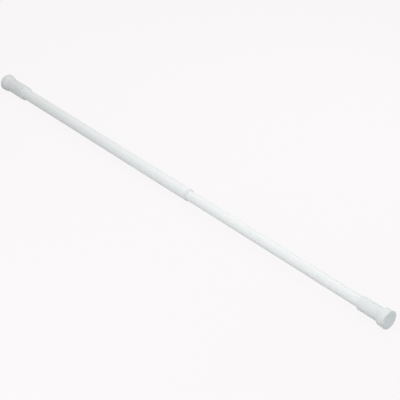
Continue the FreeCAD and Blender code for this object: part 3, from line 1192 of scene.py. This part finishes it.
@dataclass(frozen=True)
class MouthCollar:
    """The slit guide collar in the outer tube's mouth.

    Attributes:
        bore: radius of the bore that the inner tube slides in.
        tube_bore: outside radius of the part inside the outer tube.
        insert: length of that part.
        lip: length of the lip that stands on the tube's mouth.
        lip_round: round of the lip's edge at the tube.
        lip_end_round: round of its other edge.
        lead: chamfer of the inner end.
        undercut: length of the groove behind the lip, which shows as a thin dark ring.
        undercut_wall: what the groove leaves of the wall.
        nose_wall: wall of the nose past the groove.
        nose_round: round of the nose's edge at the groove.
        nose_end_round: round of its outer end.
        nose_lead: chamfer of the bore at that end.
        slits: number of slits, which let the inner end give.
        slit: width of one slit.
        slit_length: its length.
        saw_depth: how deep the saw is, across the wall and beyond.
        facets: flats round the collar.
    """

    bore: float = 8.1 * MM
    tube_bore: float = 8.87 * MM
    insert: float = 18.0 * MM
    lip: float = 3.5 * MM
    lip_round: float = 0.45 * MM
    lip_end_round: float = 0.25 * MM
    lead: float = 0.3 * MM
    undercut: float = 0.75 * MM
    undercut_wall: float = 0.12 * MM
    nose_wall: float = 0.5 * MM
    nose_round: float = 0.1 * MM
    nose_end_round: float = 0.15 * MM
    nose_lead: float = 0.1 * MM
    slits: int = 4
    slit: float = 1.5 * MM
    slit_length: float = 11.0 * MM
    saw_depth: float = 7.0 * MM
    facets: int = 144

    def saw(self) -> ShapeTree:
        """Build the tree that saws the slits, evenly round the inner end.

        Returns:
            The tree.
        """
        sizes = {"Slits": "Int", "Saw": "Vector", "Start": "Float", "Reach": "Float"}
        shape = ShapeTree("saw_collar_slits", sizes)
        tree, given = shape.tree, shape.given
        ring = add_node(
            tree, "GeometryNodeMeshCircle", {"Vertices": given["Slits"], "Radius": given["Reach"]}
        )
        spot = add_node(tree, "GeometryNodeInputPosition")
        turned = add_node(
            tree, "FunctionNodeAlignRotationToVector", {"Vector": spot["Position"]}, axis="X"
        )
        saw = add_node(tree, "GeometryNodeMeshCube", {"Size": given["Saw"]})
        saws = add_node(
            tree,
            "GeometryNodeInstanceOnPoints",
            {"Points": ring["Mesh"], "Instance": saw["Mesh"], "Rotation": turned["Rotation"]},
        )
        shift = add_node(tree, "ShaderNodeCombineXYZ", {"X": given["Start"]})
        laid = add_node(
            tree,
            "GeometryNodeTransform",
            {
                "Geometry": saws["Instances"],
                "Rotation": (0.0, math.pi / 2, 0.0),
                "Translation": shift["Vector"],
            },
        )
        real = add_node(tree, "GeometryNodeRealizeInstances", {"Geometry": laid["Geometry"]})
        sawn = add_node(
            tree,
            "GeometryNodeMeshBoolean",
            {0: given["Blank"], 1: real["Geometry"]},
            operation="DIFFERENCE",
            solver="EXACT",
        )
        shape.end(sawn["Mesh"])
        return shape

    def build(self, lathe: Lathe, finish: Material) -> None:
        """Turn the collar, saw its slits and dress it.

        Args:
            lathe: what turns it.
            finish: its material.
        """
        low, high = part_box("mouth_collar")
        mouth = low.x + self.insert
        rim = high.z
        lip_end = mouth + self.lip
        nose = lip_end + self.undercut
        groove = self.bore + self.undercut_wall
        nose_rim = self.bore + self.nose_wall
        outline = Outline(
            (
                Corner(low.x, self.bore + self.lead),
                Corner(low.x, self.tube_bore - self.lead),
                Corner(low.x + self.lead, self.tube_bore),
                Corner(mouth, self.tube_bore),
                Corner(mouth, rim, self.lip_round),
                Corner(lip_end, rim, self.lip_end_round),
                Corner(lip_end, groove),
                Corner(nose, groove),
                Corner(nose, nose_rim, self.nose_round),
                Corner(high.x, nose_rim, self.nose_end_round),
                Corner(high.x, self.bore + self.nose_lead),
                Corner(high.x - self.nose_lead, self.bore),
                Corner(low.x + self.lead, self.bore),
            )
        )
        blank = lathe.turn("collar_blank", outline, finish, self.facets)
        bpy.context.scene.collection.objects.unlink(blank)
        sizes = {
            "Slits": self.slits,
            # Each saw reaches as far beyond the collar's inner end as into it
            "Saw": (self.saw_depth, self.slit, 2 * self.slit_length),
            "Start": low.x,
            "Reach": self.tube_bore,
        }
        piece = self.saw().make("mouth_collar_moulded", blank, finish, sizes)
        seat_piece(piece, "mouth_collar", OUTER_SECTION)


@dataclass(frozen=True)
class PressureSpring:
    """The round-wire compression spring, closed at both ends.

    Attributes:
        wire: diameter of the wire.
        active_coils: coils that shorten, without the closed coil at each end.
        closed_pitch: how far a closed coil rises, in wire diameters.
        steps_per_coil: points of the wire's line in one coil.
        wire_facets: flats round the wire.
        squeezed: length at the end of the stroke over length at rest; not used.
    """

    wire: float = 1.1 * MM
    active_coils: int = 6
    closed_pitch: float = 1.04
    steps_per_coil: int = 48
    wire_facets: int = 14
    squeezed: float = 28 / 60

    def winder(self) -> ShapeTree:
        """Build the tree that winds the spring.

        Returns:
            The tree.
        """
        # One closed coil at each end
        coils = self.active_coils + 2
        names = ("Wire Radius", "Coil Radius", "Closed Pitch", "Active Length", "Start")
        shape = ShapeTree("wind_pressure_spring", dict.fromkeys(names, "Float"))
        tree, given = shape.tree, shape.given
        spiral = add_node(
            tree,
            "GeometryNodeCurveSpiral",
            {
                "Resolution": self.steps_per_coil,
                "Rotations": float(coils),
                "Start Radius": given["Coil Radius"],
                "End Radius": given["Coil Radius"],
                "Height": 0.0,
            },
        )
        share = add_node(tree, "GeometryNodeSplineParameter")["Factor"]
        rises = []
        stretches = (
            (0, 1, given["Closed Pitch"]),
            (1, coils - 1, given["Active Length"]),
            (coils - 1, coils, given["Closed Pitch"]),
        )
        for first, last, rise in stretches:
            limits = {"Value": share, "From Min": first / coils, "From Max": last / coils}
            climb = add_node(tree, "ShaderNodeMapRange", {**limits, "To Max": rise})
            rises.append(climb["Result"])
        total = rises[0]
        for rise in rises[1:]:
            total = add_node(tree, "ShaderNodeMath", {0: total, 1: rise}, operation="ADD")[0]
        lift = add_node(tree, "ShaderNodeCombineXYZ", {"Z": total})
        wound = add_node(
            tree,
            "GeometryNodeSetPosition",
            {"Geometry": spiral["Curve"], "Offset": lift["Vector"]},
        )
        section = add_node(
            tree,
            "GeometryNodeCurvePrimitiveCircle",
            {"Resolution": self.wire_facets, "Radius": given["Wire Radius"]},
            mode="RADIUS",
        )
        skin = add_node(
            tree,
            "GeometryNodeCurveToMesh",
            {"Curve": wound["Geometry"], "Profile Curve": section["Curve"], "Fill Caps": True},
        )
        shift = add_node(tree, "ShaderNodeCombineXYZ", {"X": given["Start"]})
        laid = add_node(
            tree,
            "GeometryNodeTransform",
            {
                "Geometry": skin["Mesh"],
                "Rotation": (0.0, math.pi / 2, 0.0),
                "Translation": shift["Vector"],
            },
        )
        smooth = add_node(tree, "GeometryNodeSetShadeSmooth", {"Geometry": laid["Geometry"]})
        shape.end(smooth["Geometry"])
        return shape

    def build(self, finish: Material) -> None:
        """Wind the spring and let it move with the inner tube's body.

        Args:
            finish: its material.
        """
        low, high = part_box("pressure_spring")
        pitch = self.closed_pitch * self.wire
        sizes = {
            "Wire Radius": self.wire / 2,
            "Coil Radius": high.z - self.wire / 2,
            "Closed Pitch": pitch,
            "Active Length": high.x - low.x - self.wire - 2 * pitch,
            "Start": low.x + self.wire / 2,
        }
        blank = bpy.data.objects.new("spring_blank", bpy.data.meshes.new("spring_blank"))
        piece = self.winder().make("pressure_spring_wound", blank, finish, sizes)
        seat_piece(piece, "pressure_spring", INNER_SECTION)
        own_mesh(piece)


@dataclass(frozen=True)
class InnerWorks:
    """The lock and plunger pieces that stay as the frame has them and get their finish.

    Attributes:
        nylon: the moulded nodes.
        plated: the zinc plated nodes.
        sprung: the nodes of spring steel.
    """

    nylon: tuple[str, ...] = ("cam_spindle", "lock_ring", "tube_bush", "spring_seat")
    plated: tuple[str, ...] = ("guide_rod", "stop_washer")
    sprung: tuple[str, ...] = ("spindle_pin", "retaining_clip")

    def dress(self, nodes: dict[str, Object], made: dict[str, Material]) -> None:
        """Give each carried-over node its finish.

        Args:
            nodes: the frame's nodes.
            made: materials by the finish's name.
        """
        groups = (
            (self.nylon, CAM_NYLON),
            (self.plated, ZINC_PLATE),
            (self.sprung, SPRING_STEEL),
        )
        for names, finish in groups:
            for name in names:
                slots = nodes[name].data.materials
                slots.clear()
                slots.append(made[finish.name])
                LOG.info("%s: %s", name, finish.name)


@dataclass(frozen=True)
class SoftBox:
    """One soft lamp over the floor.

    Attributes:
        name: the lamp's name.
        aim: the place along the rod that it faces.
        away: how far it hangs from there, along X, Y and Z.
        size: its width and depth.
        watts: its power.
    """

    name: str
    aim: float
    away: tuple[float, float, float]
    size: tuple[float, float]
    watts: float


# A little past the rod's middle, where the photograph is brightest
BRIGHTEST = 552.6 * MM
# Their powers were fitted together, so that the rod is as light as in the photograph
SOFT_BOXES = (
    SoftBox("overhead_soft_box", BRIGHTEST, (0.0, 0.1, 0.62), (0.6, 0.5), 0.53),
    SoftBox("front_soft_box", BRIGHTEST, (0.1, -0.75, 0.56), (0.5, 0.5), 2.95),
    SoftBox("rear_soft_box", BRIGHTEST, (0.0, 0.55, 0.55), (0.9, 0.5), 1.97),
    SoftBox("end_fill", WALLS[1], (1.25, -0.43, 0.45), (0.6, 0.6), 4.8),
    SoftBox("far_end_fill", WALLS[0], (-1.25, 0.3, 0.5), (0.6, 0.6), 1.2),
)


@dataclass(frozen=True)
class Studio:
    """The pale floor, the soft lights and the camera at the photograph's angle.

    Attributes:
        camera_at: the camera's place.
        azimuth: how far it stands round from looking along +Y.
        elevation: how far it looks down.
        lens: focal length.
        sensor: width of the sensor, in millimetres as the focal length.
        sight: how far the camera sees.
        backdrop: sRGB colour of floor and background, as the camera sees them.
        bounce: sRGB colour of the floor for the light that it throws on the rod.
        floor_size: width and depth of the floor.
        shadow_share: how much of the floor's look is real light, which shows the shadow.
        floor_light: how bright real light makes an open floor, from 0 to 1.
        room_light: sRGB colour of the even light all round.
        room_strength: how strong that light is.
        boxes: the soft boxes.
    """

    camera_at: tuple[float, float, float] = (1.6373, -0.9133, 0.8723)
    azimuth: float = math.radians(50.048)
    elevation: float = math.radians(31.409)
    lens: float = 99.95
    sensor: float = 36.0
    sight: float = 50.0
    backdrop: str = "#F9F7F8"
    bounce: str = "#B6B9BB"
    floor_size: float = 14.0
    shadow_share: float = 0.06
    floor_light: float = 0.78
    room_light: str = "#F8F9FA"
    room_strength: float = 0.5
    boxes: tuple[SoftBox, ...] = SOFT_BOXES

    def camera(self) -> None:
        """Place the camera as the photograph was taken."""
        a, e = self.azimuth, self.elevation
        back = Vector((math.sin(a) * math.cos(e), -math.cos(a) * math.cos(e), math.sin(e)))
        right = Vector((math.cos(a), math.sin(a), 0.0))
        up = back.cross(right)
        turn = Matrix((right, up, back)).transposed().to_4x4()
        data = bpy.data.cameras.new("camera")
        data.lens = self.lens
        data.sensor_width = self.sensor
        data.clip_end = self.sight
        camera = bpy.data.objects.new("camera", data)
        camera.matrix_world = Matrix.Translation(self.camera_at) @ turn
        bpy.context.scene.collection.objects.link(camera)
        bpy.context.scene.camera = camera

    def _shown(self, tree: NodeTree) -> NodeSocket:
        """Tell what the camera sees from the light that falls on the rod.

        Args:
            tree: the tree of the floor's or the room's look.

        Returns:
            1 for what is seen straight, mirrored or through glass, and 0 for other light.
        """
        path = add_node(tree, "ShaderNodeLightPath")
        seen = add_node(
            tree,
            "ShaderNodeMath",
            {0: path["Is Camera Ray"], 1: path["Is Glossy Ray"]},
            operation="MAXIMUM",
        )
        return add_node(
            tree,
            "ShaderNodeMath",
            {0: seen[0], 1: path["Is Transmission Ray"]},
            operation="MAXIMUM",
        )[0]

    def floor(self, height: float) -> None:
        """Lay the pale floor that the rod rests on.

        Args:
            height: the floor's level.
        """
        # Seamless matt paper, as goods are photographed on: no shine, only a faint shadow
        made = bpy.data.materials.new("pale_matt_backdrop_paper")
        tree = empty_tree(made)
        pale = linear(self.backdrop)
        lit = add_node(tree, "ShaderNodeBsdfDiffuse", {"Color": linear(self.bounce)})
        share = self.shadow_share
        veil = add_node(
            tree, "ShaderNodeEmission", {"Color": pale, "Strength": 1.0 - share * self.floor_light}
        )
        kept = [c * share for c in pale[:3]]
        ground = add_node(tree, "ShaderNodeBsdfDiffuse", {"Color": (*kept, 1.0)})
        seen = add_node(tree, "ShaderNodeAddShader", {0: veil[0], 1: ground[0]})
        mixed = add_node(
            tree, "ShaderNodeMixShader", {0: self._shown(tree), 1: lit[0], 2: seen[0]}
        )
        add_node(tree, "ShaderNodeOutputMaterial", {"Surface": mixed[0]})
        half = self.floor_size / 2
        mesh = bpy.data.meshes.new("floor")
        corners = [(-half, -half), (half, -half), (half, half), (-half, half)]
        mesh.from_pydata([(x, y, height) for x, y in corners], [], [(0, 1, 2, 3)])
        mesh.materials.append(made)
        floor = bpy.data.objects.new("floor", mesh)
        bpy.context.scene.collection.objects.link(floor)
        floor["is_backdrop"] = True

    def world(self) -> None:
        """Fill the room with even light, and show the backdrop's colour to the camera."""
        world = bpy.data.worlds.new("room")
        tree = empty_tree(world)
        shown = self._shown(tree)
        seen = add_node(
            tree, "ShaderNodeBackground", {"Color": linear(self.backdrop), "Strength": 1.0}
        )
        lit = add_node(
            tree,
            "ShaderNodeBackground",
            {"Color": linear(self.room_light), "Strength": self.room_strength},
        )
        mixed = add_node(tree, "ShaderNodeMixShader", {0: shown, 1: lit[0], 2: seen[0]})
        add_node(tree, "ShaderNodeOutputWorld", {"Surface": mixed[0]})
        bpy.context.scene.world = world

    def lamp(self, box: SoftBox) -> None:
        """Hang one soft box.

        Args:
            box: the soft box.
        """
        data = bpy.data.lights.new(box.name, "AREA")
        data.shape = "RECTANGLE"
        data.size, data.size_y = box.size
        data.energy = box.watts
        lamp = bpy.data.objects.new(box.name, data)
        lamp.visible_camera = False
        aim = Vector((box.aim, 0.0, 0.0))
        away = Vector(box.away)
        turn = (-away).to_track_quat("-Z", "Y").to_matrix().to_4x4()
        lamp.matrix_world = Matrix.Translation(aim + away) @ turn
        bpy.context.scene.collection.objects.link(lamp)

    def build(self, ground: float) -> None:
        """Set the whole studio round the rod.

        Args:
            ground: level of the rod's lowest point.
        """
        self.camera()
        self.floor(ground)
        self.world()
        for box in self.boxes:
            self.lamp(box)
        bpy.context.scene.view_settings.view_transform = "Standard"
        LOG.info("studio: floor at %.4f m, %d soft boxes", ground, len(self.boxes))


def main() -> None:
    """Load the frame, build the rod's pieces in order and light them."""
    logging.basicConfig(level=logging.INFO, format="%(name)s: %(message)s")
    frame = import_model()
    cad_low, cad_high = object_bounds()
    made = {finish.name: finish.material() for finish in FINISHES}
    lathe = Lathe()
    OuterTube().build(lathe, made[TUBE_ENAMEL.name])
    InnerTube().build(lathe, made[INNER_ENAMEL.name])
    outer_end = CapEnd(
        side="outer",
        body=OUTER_SECTION,
        facing=Facing.FORWARD,
        tube_radius=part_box("outer_tube")[1].z,
        flange_radius=14.65 * MM,
        sleeve_wall=2.4 * MM,
        band_length=8.5 * MM,
        band_taper=0.7 * MM,
        flare_length=6.5 * MM,
    )
    inner_end = CapEnd(
        side="inner",
        body=INNER_SECTION,
        facing=Facing.BACKWARD,
        tube_radius=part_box("inner_tube")[1].z,
        flange_radius=13.4 * MM,
        sleeve_wall=2.0 * MM,
        band_length=11.3 * MM,
        band_taper=0.8 * MM,
        flare_length=4.0 * MM,
    )
    for end in (outer_end, inner_end):
        end.cap(lathe, made[CAP_VINYL.name])
        end.pad(lathe, made[PAD_RUBBER.name])
    MouthCollar().build(lathe, made[COLLAR_PLASTIC.name])
    PressureSpring().build(made[SPRING_STEEL.name])
    InnerWorks().dress(frame["nodes"], made)
    Studio().build(cad_low.z)


if __name__ == "__main__":
    main()
